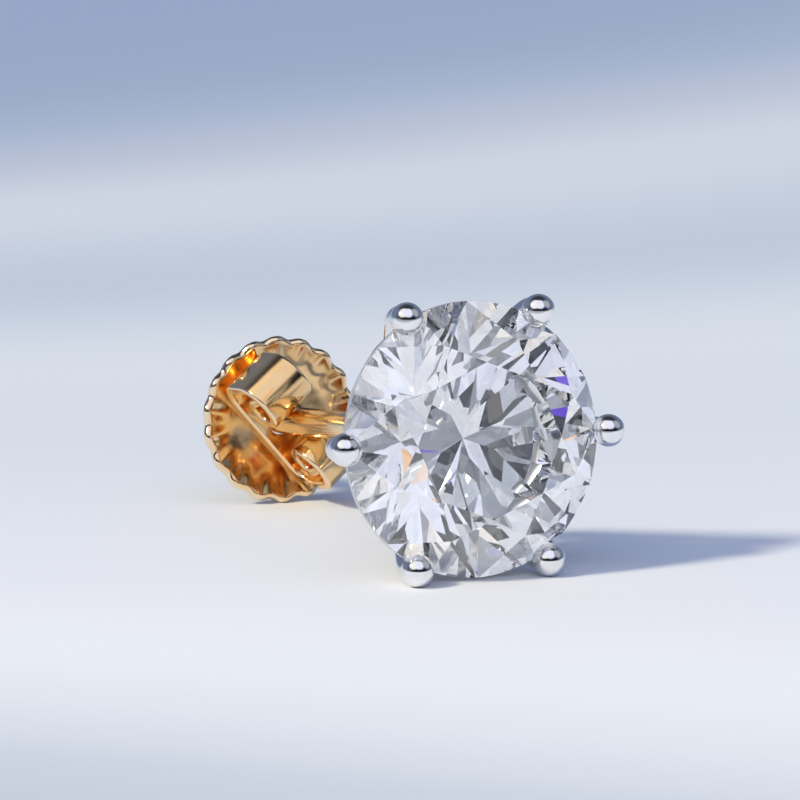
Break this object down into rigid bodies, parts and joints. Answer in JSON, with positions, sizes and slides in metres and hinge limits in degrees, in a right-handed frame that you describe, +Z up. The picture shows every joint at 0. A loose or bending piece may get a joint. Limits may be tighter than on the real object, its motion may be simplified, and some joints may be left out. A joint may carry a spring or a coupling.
{
  "type": "stud earring",
  "caption": "Solitaire stud earring: a round brilliant in a pronged head on a straight post, with a butterfly clutch that slides on it.",
  "frame": {"origin": "the bottom centre of the whole earring as it lies on a surface by itself", "axes": "+Z is up, +Y runs from the head along the post to its tip, +X is to the right as the stone is looked at"},
  "size_m": [0.0076, 0.0148, 0.0066],
  "materials": {
    "stone": "polished flat facets, near colourless",
    "white_metal": "mirror polish, white gold or platinum",
    "yellow_gold": "bright polish"
  },
  "bodies": {
    "stud": {"stone": "stone", "setting": "white_metal", "post": "yellow_gold"},
    "clutch": {"clutch": "yellow_gold"}
  },
  "joints": [
    {"name": "clutch_slide", "type": "slide", "parent": "stud", "child": "clutch", "axis": [0, 0.9946, -0.1042], "range_m": [-0.0053, 0.0043]}
  ]
}
